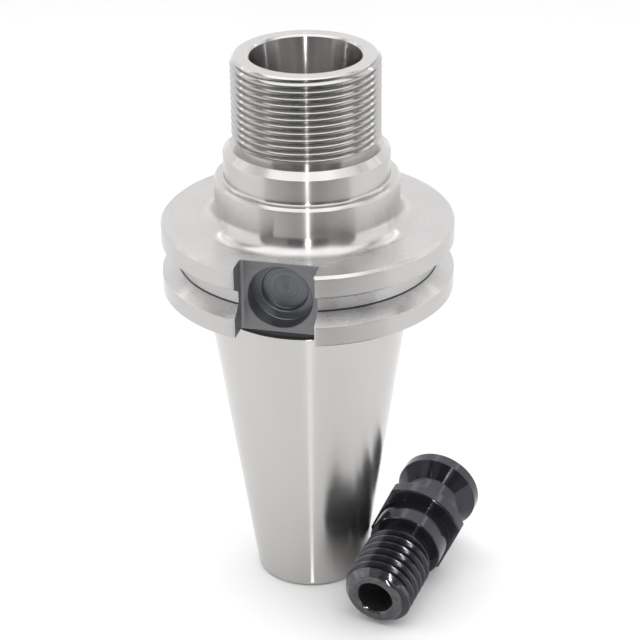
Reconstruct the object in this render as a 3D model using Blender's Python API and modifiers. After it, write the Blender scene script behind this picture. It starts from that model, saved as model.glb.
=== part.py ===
"""A 40-size steep-taper collet-chuck tool holder standing on its small end, and its pull stud lying beside it.

The holder's axis is Z and its small end's face is at Z = 0. The drive slot with the round pocket faces -Y.
Each piece is turned from an outline, gets its thread, and is then faced, grooved and milled as in a workshop.
"""

import math

import bmesh
import bpy
from mathutils import Euler, Vector

# Steep taper
TAPER_RATE = 7 / 24
GAUGE_DIAMETER = 0.04445
TAPER_LENGTH = 0.0684
TAPER_END_CHAMFER = 0.0005
UNDERCUT_DEPTH = 0.0005
UNDERCUT_FILLET = 0.0006

# Flange and gripper groove
FLANGE_DIAMETER = 0.06355
FLANGE_OFFSET = 0.0032
FLANGE_THICKNESS = 0.0159
FLANGE_TOP_CHAMFER = 0.0006
FLANGE_BACK_CHAMFER = 0.0004
GROOVE_CENTRE_OFFSET = 0.0111
GROOVE_WIDTH = 0.00707
GROOVE_DEPTH = 0.00365
GROOVE_HALF_ANGLE = math.radians(30)

# Drive slots and the round pocket in the front one
SLOT_WIDTH = 0.0169
FRONT_SLOT_FLOOR = 0.0252
REAR_SLOT_FLOOR = 0.0228
SLOT_CORNER_RADIUS = 0.0008
SLOT_EDGE_CHAMFER = 0.0004
POCKET_DIAMETER = 0.0139
POCKET_DEPTH = 0.0040
POCKET_LEDGE = 0.00195
POCKET_INNER_DEPTH = 0.0015

# Neck and collar between the flange and the nose thread: each stands out from what is above it by its step
NECK_STEP = 0.00205
NECK_FILLET = 0.0036
NECK_LENGTH = 0.0098
NECK_EDGE_CHAMFER = 0.0006
COLLAR_STEP = 0.0020
COLLAR_FILLET = 0.0005
COLLAR_LENGTH = 0.0070
COLLAR_CHAMFER = 0.0015

# Nose thread and bore
NOSE_THREAD_DIAMETER = 0.0319
NOSE_THREAD_PITCH = 0.0015
NOSE_LENGTH = 0.0199
NOSE_END_CHAMFER = 0.0010
NOSE_RELIEF_WIDTH = 0.0010
NOSE_RELIEF_DEPTH = 0.0002
NOSE_WALL = 0.0036
BORE_MOUTH_CHAMFER = 0.00045
SEAT_HALF_ANGLE = math.radians(8)
SEAT_LENGTH = 0.0270
CLEARANCE_BORE_DEPTH = 0.0620
PASSAGE_DIAMETER = 0.0110
DRILL_HALF_ANGLE = math.radians(59)

# Pull stud
STUD_THREAD_DIAMETER = 0.015875
STUD_THREAD_PITCH = 0.002309
STUD_THREAD_LENGTH = 0.0163
STUD_END_CHAMFER = 0.0018375
STUD_GROOVE_WIDTH = 0.0022
STUD_GROOVE_DEPTH = 0.0003
STUD_PILOT_STEP = 0.0004625
STUD_PILOT_LENGTH = 0.00635
STUD_PILOT_CHAMFER = 0.00035
STUD_COLLAR_DIAMETER = 0.0225
STUD_COLLAR_THICKNESS = 0.0032
STUD_FLAT_DEPTH = 0.00225
STUD_EDGE_CHAMFER = 0.0003
STUD_NECK_DIAMETER = 0.01295
STUD_NECK_FILLET = 0.0008
STUD_HEAD_DIAMETER = 0.01895
STUD_HEAD_RIM = 0.0028
STUD_HEAD_REACH = 0.01705
STUD_HOLE_DIAMETER = 0.0080
STUD_HOLE_CHAMFER = 0.0004

# Stud's socket in the small end
SOCKET_PILOT_CLEARANCE = 0.0001
SOCKET_PILOT_SPARE = 0.0012
SOCKET_THREAD_SPARE = 0.0080
SOCKET_MOUTH_CHAMFER = 0.0004

# How the stud lies: turned from +Y towards +X, its wrench flats rolled about its own axis
STUD_AZIMUTH = math.radians(10.3)
STUD_FLATS_ROLL = math.radians(25)
STUD_COLLAR_Y = -0.0004
STUD_TO_TAPER_GAP = 0.0003

# Where a thread's crest passes the +X side, measured from the small end or from the stud's thread end
NOSE_CREST_AT_X = 0.121618
STUD_CREST_AT_X = 0.001790

# 60 degree thread form, as shares of the pitch
THREAD_DEPTH_SHARE = 0.6134
CREST_FLAT_SHARE = 0.125
ROOT_FLAT_SHARE = 0.25

# Workshop allowances: stock that the facing and grooving tools take away, and the wall of a threaded sleeve
FACING_STOCK = 0.0020
SHOULDER_STOCK = 0.0001
SLEEVE_WALL = 0.0003
TOOL_MARGIN = 0.0020

HOLDER_STEPS = 40
STUD_STEPS = 28
FILLET_STEPS = 5
SMALL_FILLET_STEPS = 3
POCKET_STEPS = 32
SMOOTH_ANGLE = math.radians(30)
MERGE_DISTANCE = 0.000005

# Heights above the small end
FLANGE_BACK = TAPER_LENGTH + FLANGE_OFFSET
FLANGE_TOP = FLANGE_BACK + FLANGE_THICKNESS
GROOVE_CENTRE = TAPER_LENGTH + GROOVE_CENTRE_OFFSET
NECK_TOP = FLANGE_TOP + NECK_LENGTH
COLLAR_TOP = NECK_TOP + COLLAR_LENGTH
NOSE_END = COLLAR_TOP + NOSE_LENGTH
FLANGE_RADIUS = FLANGE_DIAMETER / 2

# Diameters that follow another piece or feature
BORE_MOUTH_DIAMETER = NOSE_THREAD_DIAMETER - 2 * NOSE_WALL
COLLAR_DIAMETER = NOSE_THREAD_DIAMETER + 2 * COLLAR_STEP
NECK_DIAMETER = COLLAR_DIAMETER + 2 * NECK_STEP
POCKET_INNER_DIAMETER = POCKET_DIAMETER - 2 * POCKET_LEDGE
STUD_PILOT_DIAMETER = STUD_THREAD_DIAMETER + 2 * STUD_PILOT_STEP
STUD_WRENCH_SIZE = STUD_COLLAR_DIAMETER - 2 * STUD_FLAT_DEPTH

# Heights along the stud from its thread end
STUD_PILOT_START = STUD_THREAD_LENGTH + STUD_GROOVE_WIDTH
STUD_COLLAR_SEAT = STUD_PILOT_START + STUD_PILOT_LENGTH
STUD_COLLAR_TOP = STUD_COLLAR_SEAT + STUD_COLLAR_THICKNESS
STUD_HEAD_END = STUD_COLLAR_SEAT + STUD_HEAD_REACH


def thread_core_radius(diameter, pitch):
    return diameter / 2 - THREAD_DEPTH_SHARE * pitch


def taper_radius(z):
    return GAUGE_DIAMETER / 2 - (TAPER_LENGTH - z) * TAPER_RATE / 2


def seat_radius(z):
    """The collet seat's cone, from the foot of the mouth chamfer down."""
    seat_top = NOSE_END - BORE_MOUTH_CHAMFER
    return BORE_MOUTH_DIAMETER / 2 - BORE_MOUTH_CHAMFER + (z - seat_top) * math.tan(SEAT_HALF_ANGLE)


def concave_fillet(r, z, radius, steps):
    """Points of a fillet that leaves a wall of radius r above the corner (r, z) and runs outwards onto the face."""
    points = []
    for i in range(steps + 1):
        angle = math.pi + i * math.pi / 2 / steps
        points.append((r + radius + radius * math.cos(angle), z + radius + radius * math.sin(angle)))
    return points


def new_collection(name):
    made = bpy.data.collections.new(name)
    bpy.context.scene.collection.children.link(made)
    return made


def clear_scene():
    for obj in list(bpy.data.objects):
        bpy.data.objects.remove(obj, do_unlink=True)


def metal(name, colour, roughness, metallic):
    made = bpy.data.materials.new(name)
    made.use_nodes = True
    surface = made.node_tree.nodes["Principled BSDF"]
    surface.inputs["Base Color"].default_value = (*colour, 1.0)
    surface.inputs["Roughness"].default_value = roughness
    surface.inputs["Metallic"].default_value = metallic
    return made


def turned(name, outline, steps, home):
    """A ring turned from a closed outline of (radius, z), which runs down its outer side."""
    mesh = bpy.data.meshes.new(name)
    points = [(r, 0.0, z) for r, z in outline]
    mesh.from_pydata(points, [(i, (i + 1) % len(points)) for i in range(len(points))], [])
    obj = bpy.data.objects.new(name, mesh)
    home.objects.link(obj)
    screw = obj.modifiers.new("Turning", "SCREW")
    screw.axis = "Z"
    screw.angle = 2 * math.pi
    screw.steps = steps
    screw.render_steps = steps
    screw.use_merge_vertices = True
    screw.merge_threshold = MERGE_DISTANCE
    return obj


def as_tool(obj):
    obj.hide_render = True
    obj.display_type = "WIRE"
    return obj


def turning_tool(name, outline, steps, home):
    """A turned cutter, set half a step round so that its edges don't run along the work's."""
    obj = turned(name, outline, steps, home)
    obj.rotation_euler.z = math.pi / steps
    return as_tool(obj)


def boolean(obj, tool, operation):
    change = obj.modifiers.new(tool.name, "BOOLEAN")
    change.operation = operation
    change.solver = "EXACT"
    change.object = tool


def from_bmesh(name, bm, home):
    bmesh.ops.recalc_face_normals(bm, faces=bm.faces)
    mesh = bpy.data.meshes.new(name)
    bm.to_mesh(mesh)
    bm.free()
    obj = bpy.data.objects.new(name, mesh)
    home.objects.link(obj)
    return obj


def threaded_sleeve(name, diameter, pitch, crest_at_x, low, high, steps, home):
    """A thin sleeve with a right-hand thread outside, from the last crest below low to past high.

    Its section is one pitch of the thread. Each turn's top edge is the next turn's bottom edge.
    """
    crest = diameter / 2
    core = thread_core_radius(diameter, pitch)
    inside = core - SLEEVE_WALL
    half_crest = CREST_FLAT_SHARE * pitch / 2
    half_base = half_crest + (1 - ROOT_FLAT_SHARE - CREST_FLAT_SHARE) * pitch / 2
    top = half_base
    bottom = top - pitch
    start = crest_at_x + math.floor((low - crest_at_x) / pitch) * pitch
    count = math.ceil((high - start) / pitch * steps)
    bm = bmesh.new()

    def sweep(chain, first, length):
        """Turns a chain of (radius, height) points up the helix, from its step number first."""
        turn = first * 2 * math.pi / steps
        lift = start + first * pitch / steps
        verts = [bm.verts.new((r * math.cos(turn), r * math.sin(turn), lift + z)) for r, z in chain]
        edges = [bm.edges.new(pair) for pair in zip(verts, verts[1:])]
        bmesh.ops.spin(
            bm,
            geom=verts + edges,
            cent=(0, 0, 0),
            axis=(0, 0, 1),
            dvec=(0, 0, pitch / steps),
            angle=length * 2 * math.pi / steps,
            steps=length,
        )

    section = [(core, bottom), (core, -half_base), (crest, -half_crest), (crest, half_crest), (core, top)]
    sweep(section, 0, count)
    sweep([(inside, bottom), (inside, top)], 0, count)
    sweep([(inside, bottom), (core, bottom)], 0, steps)
    sweep([(inside, top), (core, top)], count - steps, steps)
    bmesh.ops.remove_doubles(bm, verts=bm.verts, dist=MERGE_DISTANCE)
    bmesh.ops.holes_fill(bm, edges=bm.edges, sides=0)
    return from_bmesh(name, bm, home)


def holder_blank_outline():
    """The holder as turned, before its thread, facing, relief and slots."""
    core = thread_core_radius(NOSE_THREAD_DIAMETER, NOSE_THREAD_PITCH) - SLEEVE_WALL / 2
    nose_stock = NOSE_END + FACING_STOCK
    collar = COLLAR_DIAMETER / 2
    shoulder = COLLAR_TOP + SHOULDER_STOCK
    neck = NECK_DIAMETER / 2
    outer = [
        (seat_radius(nose_stock), nose_stock),
        (core, nose_stock),
        (core, shoulder),
        (collar - COLLAR_CHAMFER - SHOULDER_STOCK, shoulder),
        (collar, COLLAR_TOP - COLLAR_CHAMFER),
    ]
    outer += concave_fillet(collar, NECK_TOP, COLLAR_FILLET, SMALL_FILLET_STEPS)
    outer += [(neck - NECK_EDGE_CHAMFER, NECK_TOP), (neck, NECK_TOP - NECK_EDGE_CHAMFER)]
    outer += concave_fillet(neck, FLANGE_TOP, NECK_FILLET, FILLET_STEPS)
    outer += [
        (FLANGE_RADIUS - FLANGE_TOP_CHAMFER, FLANGE_TOP),
        (FLANGE_RADIUS, FLANGE_TOP - FLANGE_TOP_CHAMFER),
    ]
    outer += groove_outline()
    outer += [
        (FLANGE_RADIUS, FLANGE_BACK + FLANGE_BACK_CHAMFER),
        (FLANGE_RADIUS - FLANGE_BACK_CHAMFER, FLANGE_BACK),
    ]
    return outer + taper_outline() + bore_outline()


def groove_outline():
    """The V groove for a tool changer's gripper."""
    half = GROOVE_WIDTH / 2
    floor_half = half - GROOVE_DEPTH * math.tan(GROOVE_HALF_ANGLE)
    floor = FLANGE_RADIUS - GROOVE_DEPTH
    return [
        (FLANGE_RADIUS, GROOVE_CENTRE + half),
        (floor, GROOVE_CENTRE + floor_half),
        (floor, GROOVE_CENTRE - floor_half),
        (FLANGE_RADIUS, GROOVE_CENTRE - half),
    ]


def taper_outline():
    """Undercut below the flange, then the steep taper down to the small end."""
    large = taper_radius(TAPER_LENGTH)
    undercut = large - UNDERCUT_DEPTH
    # This fillet is made as the neck's is and turned over, because its wall is below the flange's back
    upright = concave_fillet(undercut, FLANGE_BACK, UNDERCUT_FILLET, SMALL_FILLET_STEPS)
    fillet = [(r, 2 * FLANGE_BACK - z) for r, z in upright]
    return fillet[::-1] + [
        (undercut, TAPER_LENGTH + UNDERCUT_DEPTH),
        (large, TAPER_LENGTH),
        (taper_radius(TAPER_END_CHAMFER), TAPER_END_CHAMFER),
        (taper_radius(0) - TAPER_END_CHAMFER, 0.0),
    ]


def bore_outline():
    """From the small end up: the stud's socket, the through passage, the clearance bore and the collet seat."""
    pilot = STUD_PILOT_DIAMETER / 2 + SOCKET_PILOT_CLEARANCE
    pilot_depth = STUD_PILOT_LENGTH + SOCKET_PILOT_SPARE
    tapped = thread_core_radius(STUD_THREAD_DIAMETER, STUD_THREAD_PITCH) + SOCKET_PILOT_CLEARANCE
    tapped_depth = STUD_COLLAR_SEAT + SOCKET_THREAD_SPARE
    passage = PASSAGE_DIAMETER / 2
    seat_end = NOSE_END - BORE_MOUTH_CHAMFER - SEAT_LENGTH
    clearance = seat_radius(seat_end)
    clearance_end = NOSE_END - CLEARANCE_BORE_DEPTH
    drill_rise = 1 / math.tan(DRILL_HALF_ANGLE)
    return [
        (pilot + SOCKET_MOUTH_CHAMFER, 0.0),
        (pilot, SOCKET_MOUTH_CHAMFER),
        (pilot, pilot_depth),
        (tapped + SOCKET_MOUTH_CHAMFER, pilot_depth),
        (tapped, pilot_depth + SOCKET_MOUTH_CHAMFER),
        (tapped, tapped_depth),
        (passage, tapped_depth + (tapped - passage) * drill_rise),
        (passage, clearance_end - (clearance - passage) * drill_rise),
        (clearance, clearance_end),
        (clearance, seat_end),
    ]


def nose_facing_outline():
    """The tool that faces the nose and chamfers its bore mouth and its thread."""
    mouth = BORE_MOUTH_DIAMETER / 2
    crest = NOSE_THREAD_DIAMETER / 2
    above = NOSE_END + FACING_STOCK + TOOL_MARGIN
    inside = 2 * BORE_MOUTH_CHAMFER
    outside = NOSE_END_CHAMFER + SLEEVE_WALL
    return [
        (mouth - inside, above),
        (crest + TOOL_MARGIN, above),
        (crest + TOOL_MARGIN, NOSE_END - outside),
        (crest + SLEEVE_WALL, NOSE_END - outside),
        (crest - NOSE_END_CHAMFER, NOSE_END),
        (mouth, NOSE_END),
        (mouth - inside, NOSE_END - inside),
    ]


def nose_relief_outline():
    """The tool that cuts the relief at the thread's foot and faces the collar."""
    floor = thread_core_radius(NOSE_THREAD_DIAMETER, NOSE_THREAD_PITCH) - NOSE_RELIEF_DEPTH
    reach = COLLAR_DIAMETER / 2
    top = COLLAR_TOP + NOSE_RELIEF_WIDTH
    return [
        (floor, top),
        (reach, top + (reach - floor)),
        (reach, COLLAR_TOP),
        (floor, COLLAR_TOP),
    ]


def slot_tool(name, floor, turn, home):
    """A drive slot's outline, seen along the axis with its mouth towards -Y, pushed through the flange."""
    half = SLOT_WIDTH / 2
    mouth = math.sqrt(FLANGE_RADIUS**2 - half**2) - SLOT_EDGE_CHAMFER
    reach = FLANGE_RADIUS + TOOL_MARGIN
    right = []
    for i in range(SMALL_FILLET_STEPS + 1):
        angle = i * math.pi / 2 / SMALL_FILLET_STEPS
        right.append(
            (
                half - SLOT_CORNER_RADIUS + SLOT_CORNER_RADIUS * math.sin(angle),
                floor + SLOT_CORNER_RADIUS - SLOT_CORNER_RADIUS * math.cos(angle),
            )
        )
    right += [(half, mouth), (half + reach - mouth, reach)]
    outline = [(-x, y) for x, y in reversed(right)] + right
    low = FLANGE_BACK - FLANGE_OFFSET / 2
    high = FLANGE_TOP + NECK_FILLET / 2
    bm = bmesh.new()
    face = bm.faces.new([bm.verts.new((x, -y, low)) for x, y in outline])
    pushed = bmesh.ops.extrude_face_region(bm, geom=[face])["geom"]
    bmesh.ops.translate(bm, verts=[v for v in pushed if isinstance(v, bmesh.types.BMVert)], vec=(0, 0, high - low))
    obj = from_bmesh(name, bm, home)
    obj.rotation_euler.z = turn
    return as_tool(obj)


def pocket_tool(name, diameter, depth, home):
    """An end mill that enters the front slot's floor at the groove's height."""
    length = depth + TOOL_MARGIN
    bm = bmesh.new()
    bmesh.ops.create_cone(
        bm, cap_ends=True, segments=POCKET_STEPS, radius1=diameter / 2, radius2=diameter / 2, depth=length
    )
    obj = from_bmesh(name, bm, home)
    obj.rotation_euler.x = math.pi / 2
    obj.location = (0, -FRONT_SLOT_FLOOR + depth - length / 2, GROOVE_CENTRE)
    return as_tool(obj)


def make_holder(parts, tools, steel):
    holder = turned("holder_body", holder_blank_outline(), HOLDER_STEPS, parts)
    sleeve = threaded_sleeve(
        "nose_thread_sleeve",
        NOSE_THREAD_DIAMETER,
        NOSE_THREAD_PITCH,
        NOSE_CREST_AT_X,
        COLLAR_TOP,
        NOSE_END + NOSE_THREAD_PITCH / 2,
        HOLDER_STEPS,
        tools,
    )
    boolean(holder, as_tool(sleeve), "UNION")
    for name, outline in (("nose_facing_tool", nose_facing_outline()), ("nose_relief_tool", nose_relief_outline())):
        boolean(holder, turning_tool(name, outline, HOLDER_STEPS, tools), "DIFFERENCE")
    boolean(holder, slot_tool("front_slot_tool", FRONT_SLOT_FLOOR, 0.0, tools), "DIFFERENCE")
    boolean(holder, slot_tool("rear_slot_tool", REAR_SLOT_FLOOR, math.pi, tools), "DIFFERENCE")
    boolean(holder, pocket_tool("pocket_tool", POCKET_DIAMETER, POCKET_DEPTH, tools), "DIFFERENCE")
    inner_depth = POCKET_DEPTH + POCKET_INNER_DEPTH
    boolean(holder, pocket_tool("pocket_inner_tool", POCKET_INNER_DIAMETER, inner_depth, tools), "DIFFERENCE")
    finish(holder, steel)


def stud_blank_outline():
    """The stud as turned, from its head down to the stock past its thread end."""
    head = STUD_HEAD_DIAMETER / 2
    neck = STUD_NECK_DIAMETER / 2
    collar = STUD_COLLAR_DIAMETER / 2
    pilot = STUD_PILOT_DIAMETER / 2
    core = thread_core_radius(STUD_THREAD_DIAMETER, STUD_THREAD_PITCH) - SLEEVE_WALL / 2
    hole = STUD_HOLE_DIAMETER / 2
    edge = STUD_EDGE_CHAMFER
    rim_foot = STUD_HEAD_END - STUD_HEAD_RIM
    pilot_stock = STUD_PILOT_START - SHOULDER_STOCK
    outline = [
        (hole + STUD_HOLE_CHAMFER, STUD_HEAD_END),
        (head - edge, STUD_HEAD_END),
        (head, STUD_HEAD_END - edge),
        (head, rim_foot),
        (neck, rim_foot - (head - neck)),
    ]
    outline += concave_fillet(neck, STUD_COLLAR_TOP, STUD_NECK_FILLET, SMALL_FILLET_STEPS)
    outline += [
        (collar - edge, STUD_COLLAR_TOP),
        (collar, STUD_COLLAR_TOP - edge),
        (collar, STUD_COLLAR_SEAT + edge),
        (collar - edge, STUD_COLLAR_SEAT),
        (pilot, STUD_COLLAR_SEAT),
        (pilot, pilot_stock + STUD_PILOT_CHAMFER),
        (pilot - STUD_PILOT_CHAMFER, pilot_stock),
        (core, pilot_stock),
        (core, -FACING_STOCK),
        (hole, -FACING_STOCK),
        (hole, STUD_HEAD_END - STUD_HOLE_CHAMFER),
    ]
    return outline


def stud_facing_outline():
    """The tool that faces the thread end and chamfers its hole and its thread."""
    hole = STUD_HOLE_DIAMETER / 2
    crest = STUD_THREAD_DIAMETER / 2
    face = crest - STUD_END_CHAMFER
    inside = 2 * STUD_HOLE_CHAMFER
    reach = crest + SLEEVE_WALL
    below = -FACING_STOCK - TOOL_MARGIN
    return [
        (hole + STUD_HOLE_CHAMFER - inside, inside),
        (hole + STUD_HOLE_CHAMFER, 0.0),
        (face, 0.0),
        (reach, reach - face),
        (crest + TOOL_MARGIN, reach - face),
        (crest + TOOL_MARGIN, below),
        (hole + STUD_HOLE_CHAMFER - inside, below),
    ]


def stud_groove_outline():
    """The tool that cuts the relief between the thread and the pilot."""
    floor = thread_core_radius(STUD_THREAD_DIAMETER, STUD_THREAD_PITCH) - STUD_GROOVE_DEPTH
    reach = STUD_PILOT_DIAMETER / 2 + TOOL_MARGIN
    return [
        (floor, STUD_PILOT_START),
        (reach, STUD_PILOT_START),
        (reach, STUD_THREAD_LENGTH - (reach - floor)),
        (floor, STUD_THREAD_LENGTH),
    ]


def wrench_flat_tool(name, side, home):
    """A block that mills one of the collar's two flats."""
    inner = STUD_WRENCH_SIZE / 2
    reach = STUD_COLLAR_DIAMETER / 2 + TOOL_MARGIN
    low = STUD_COLLAR_SEAT - TOOL_MARGIN
    high = STUD_COLLAR_TOP + TOOL_MARGIN
    bm = bmesh.new()
    bmesh.ops.create_cube(bm, size=1.0)
    bmesh.ops.scale(bm, verts=bm.verts, vec=(reach - inner, 2 * reach, high - low))
    bmesh.ops.translate(bm, verts=bm.verts, vec=(side * (inner + reach) / 2, 0, (low + high) / 2))
    obj = from_bmesh(name, bm, home)
    obj.rotation_euler.z = STUD_FLATS_ROLL
    return as_tool(obj)


def lay_down(stud, tools):
    """Rests the stud on its first whole crest and on its collar's edge, beside the taper."""
    crest_radius = STUD_THREAD_DIAMETER / 2
    collar = STUD_COLLAR_DIAMETER / 2
    # The stud's own +Y ends up pointing down, a quarter turn on from its +X
    crest_at = STUD_CREST_AT_X + STUD_THREAD_PITCH * (1 / 4 - CREST_FLAT_SHARE / 2)
    collar_at = STUD_COLLAR_SEAT + STUD_EDGE_CHAMFER
    tilt = math.atan((collar - crest_radius) / (collar_at - crest_at))
    height = crest_radius * math.cos(tilt) - crest_at * math.sin(tilt)
    turn = Euler((tilt - math.pi / 2, 0, -STUD_AZIMUTH))
    centre = turn.to_matrix() @ Vector((0, 0, collar_at))
    # The collar's point nearest the taper is where a wrench flat meets its rim
    angle = math.pi + STUD_FLATS_ROLL - math.acos(STUD_WRENCH_SIZE / STUD_COLLAR_DIAMETER)
    corner = turn.to_matrix() @ Vector((collar * math.cos(angle), collar * math.sin(angle), collar_at))
    clear_radius = taper_radius(height + corner.z) + STUD_TO_TAPER_GAP
    y = STUD_COLLAR_Y - centre.y
    x = math.sqrt(clear_radius**2 - (y + corner.y) ** 2) - corner.x
    stud.rotation_euler = turn
    stud.location = (x, y, height)
    for tool in tools:
        tool.parent = stud


def make_stud(parts, tools, blackened):
    stud = turned("pull_stud", stud_blank_outline(), STUD_STEPS, parts)
    sleeve = threaded_sleeve(
        "stud_thread_sleeve",
        STUD_THREAD_DIAMETER,
        STUD_THREAD_PITCH,
        STUD_CREST_AT_X,
        0.0,
        STUD_PILOT_START + STUD_THREAD_PITCH / 2,
        STUD_STEPS,
        tools,
    )
    boolean(stud, as_tool(sleeve), "UNION")
    cutters = [
        turning_tool("stud_facing_tool", stud_facing_outline(), STUD_STEPS, tools),
        turning_tool("stud_groove_tool", stud_groove_outline(), STUD_STEPS, tools),
        wrench_flat_tool("wrench_flat_tool_left", -1, tools),
        wrench_flat_tool("wrench_flat_tool_right", 1, tools),
    ]
    for cutter in cutters:
        boolean(stud, cutter, "DIFFERENCE")
    lay_down(stud, [sleeve] + cutters)
    finish(stud, blackened)


def finish(obj, material):
    """Applies the modelling steps, then shades the round faces smooth and gives the piece its metal."""
    bpy.context.view_layer.update()
    graph = bpy.context.evaluated_depsgraph_get()
    made = bpy.data.meshes.new_from_object(obj.evaluated_get(graph))
    obj.modifiers.clear()
    obj.data = made
    made.name = obj.name
    made.shade_smooth()
    made.set_sharp_from_angle(angle=SMOOTH_ANGLE)
    made.materials.clear()
    made.materials.append(material)


def main():
    clear_scene()
    parts = new_collection("cnc_tool_holder")
    tools = new_collection("cutting_tools")
    make_holder(parts, tools, metal("ground_steel", (0.72, 0.72, 0.71), 0.28, 1.0))
    make_stud(parts, tools, metal("black_oxide_steel", (0.035, 0.035, 0.038), 0.38, 0.9))


main()
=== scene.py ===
"""A steep-taper tool holder and its pull stud as they look on a photographer's table.

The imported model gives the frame. Each piece here is turned again from the same sizes, with fine facets,
rounded edges and its finishes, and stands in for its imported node. Sizes are in metres, with Z as the axis.
"""

import math

import bmesh
import bpy
from mathutils import Euler, Matrix, Vector


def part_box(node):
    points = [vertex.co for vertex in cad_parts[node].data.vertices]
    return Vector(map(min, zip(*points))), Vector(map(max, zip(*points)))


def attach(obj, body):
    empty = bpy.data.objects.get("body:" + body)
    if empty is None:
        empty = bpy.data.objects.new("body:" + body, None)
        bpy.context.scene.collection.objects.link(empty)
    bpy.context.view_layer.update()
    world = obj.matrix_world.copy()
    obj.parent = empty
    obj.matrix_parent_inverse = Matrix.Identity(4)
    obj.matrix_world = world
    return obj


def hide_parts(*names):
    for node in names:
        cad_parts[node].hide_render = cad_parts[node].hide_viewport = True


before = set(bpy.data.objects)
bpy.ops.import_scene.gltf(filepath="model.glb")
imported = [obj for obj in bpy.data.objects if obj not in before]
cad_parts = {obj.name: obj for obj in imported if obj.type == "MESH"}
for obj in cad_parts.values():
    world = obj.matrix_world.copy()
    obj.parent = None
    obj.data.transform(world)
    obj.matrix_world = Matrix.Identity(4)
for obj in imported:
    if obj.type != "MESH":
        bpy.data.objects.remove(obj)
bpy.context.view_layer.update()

bl_info = {
    "name": "Steep Taper Tool Holder",
    "version": (1, 0, 0),
    "blender": (4, 5, 0),
    "location": "3D View > Sidebar > Tool Holder",
    "description": "Turns a tool holder and its pull stud, with their steel finishes, on a studio stage",
    "category": "Add Mesh",
}

_, HOLDER_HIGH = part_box("holder_body")
BODY = "root"

# The holder's fixed angles and small edges
TAPER_RATE = 7 / 24
UNDERCUT_DEPTH = 0.0005
UNDERCUT_FILLET = 0.0006
TAPER_END_CHAMFER = 0.0005
FLANGE_TOP_CHAMFER = 0.0006
FLANGE_BACK_CHAMFER = 0.0004
NECK_EDGE_CHAMFER = 0.0006
COLLAR_FILLET = 0.0005
GROOVE_HALF_ANGLE = math.radians(30)
GROOVE_FILLET = 0.0004
SLOT_CORNER_RADIUS = 0.0008
SLOT_EDGE_CHAMFER = 0.0004
SLOT_RIM_CHAMFER = 0.00012
POCKET_EDGE_CHAMFER = 0.00015
NOSE_END_CHAMFER = 0.0010
NOSE_RELIEF_WIDTH = 0.0010
NOSE_RELIEF_DEPTH = 0.0002
BORE_MOUTH_CHAMFER = 0.00045
DRILL_HALF_ANGLE = math.radians(59)

# The socket in the small end, the stud's small edges, and where it lies
SOCKET_CLEARANCE = 0.0001
SOCKET_PILOT_SPARE = 0.0012
SOCKET_THREAD_SPARE = 0.0080
SOCKET_MOUTH_CHAMFER = 0.0004
STUD_PILOT_CHAMFER = 0.00035
STUD_EDGE_CHAMFER = 0.0003
STUD_HOLE_CHAMFER = 0.0004
STUD_GROOVE_DEPTH = 0.0003
STUD_COLLAR_Y = -0.0004
STUD_TO_TAPER_GAP = 0.0003

# 60 degree thread form, as shares of the pitch
THREAD_DEPTH_SHARE = 0.6134
CREST_FLAT_SHARE = 0.125
ROOT_FLAT_SHARE = 0.25
CREST_EASE_SHARE = 0.060

# Workshop allowances, and how finely things are turned and rounded
FACING_STOCK = 0.0020
SHOULDER_STOCK = 0.0001
SLEEVE_WALL = 0.0003
TOOL_MARGIN = 0.0020
EDGE_ROUNDING = 0.00012
ROUNDED_FROM = math.radians(20)
SMOOTH_ANGLE = math.radians(32)
MERGE_DISTANCE = 0.000002
HOLDER_STEPS = 256
STUD_STEPS = 160
POCKET_STEPS = 96
FILLET_STEPS = 12
SMALL_FILLET_STEPS = 6
GROOVE_FILLET_STEPS = 5
SLOT_CORNER_STEPS = 4
CORNER_STEPS = 3
LONGEST_CUT_SHARE = 0.4
FACE_WEIGHT = 60
HALF_A_STEP = 0.5
QUARTER_TURN = 0.25

# Finishes, in the order of each piece's material slots. The undercut's finish is a near-black painted shade
HOLDER_FINISHES = (
    "ground_taper", "turned_faces", "turned_bore", "cut_thread",
    "blackened_slot", "blackened_pocket", "undercut_scale", "turned_flange",
)
GROUND, TURNED, BORED, THREADED, SLOT, POCKET, UNDERCUT, SATIN = range(len(HOLDER_FINISHES))
STUD_FINISHES = ("oxide_turned", "oxide_thread", "oxide_hole")
OXIDE, OXIDE_THREAD, OXIDE_HOLE = range(len(STUD_FINISHES))

# Each oxide finish's share of the colour, its share of grain, and how much rougher it is. The thread's and
# the hole's smaller shares of the colour are painted shade for the thread's roots and the inside of the hole
OXIDE_KINDS = ((1.0, 0.02, 1.0), (0.9, 0.45, 1.8), (0.6, 0.02, 1.0))

# Turning marks: how closely faces are lined against walls, broad lines against fine ones, and their depth
FACE_LINES_SHARE = 0.83
BROAD_LINES_SHARE = 0.11
LINE_DEPTH = 0.00001

# Parts of a finish's roughness that are even, come with its lines, and come with smudges
EVEN_SHARE = 0.80
LINES_SHARE = 0.25
SMUDGE_SHARE = 0.18

# Smudges, grain and rubbed edges: where their noises fade in, their scales, and their limits
SMUDGE_FADE = (0.38, 0.66)
GRAIN_SCALE = 5200.0
FLAT_POINTINESS = 0.51
WEAR_FADE = (0.3, 0.7)
LEAST_WEAR = 0.35
WEAR_SCALE = 700.0

# The table: where it fades from its dark painted shade in front to pale along the camera's direction, and its
# surface
FLOOR_FADE = (-0.265, -0.175)
FLOOR_ROUGHNESS = 0.6
FLOOR_SHINE = 0.2

# The room's streaks: scale, where their noise fades in, and their shares of the room's brightness
STREAK_SCALE = 5.0
STREAK_FADE = (0.40, 0.66)
STREAK_SHARES = (0.2, 3.6)

# Pairs of soft boxes: name, degrees from the camera, distance, width, and share of the side boxes' radiance
SIDE_BOXES = (
    ("side_box", 82, 0.45, 0.42, 1.0),
    ("corner_box", 115, 0.60, 0.16, 0.8),
    ("front_side_box", 40, 0.45, 0.27, 0.15),
)
SIDE_BOX_HEIGHT = 0.60
SIDE_BOX_MIDDLE = 0.30

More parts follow.
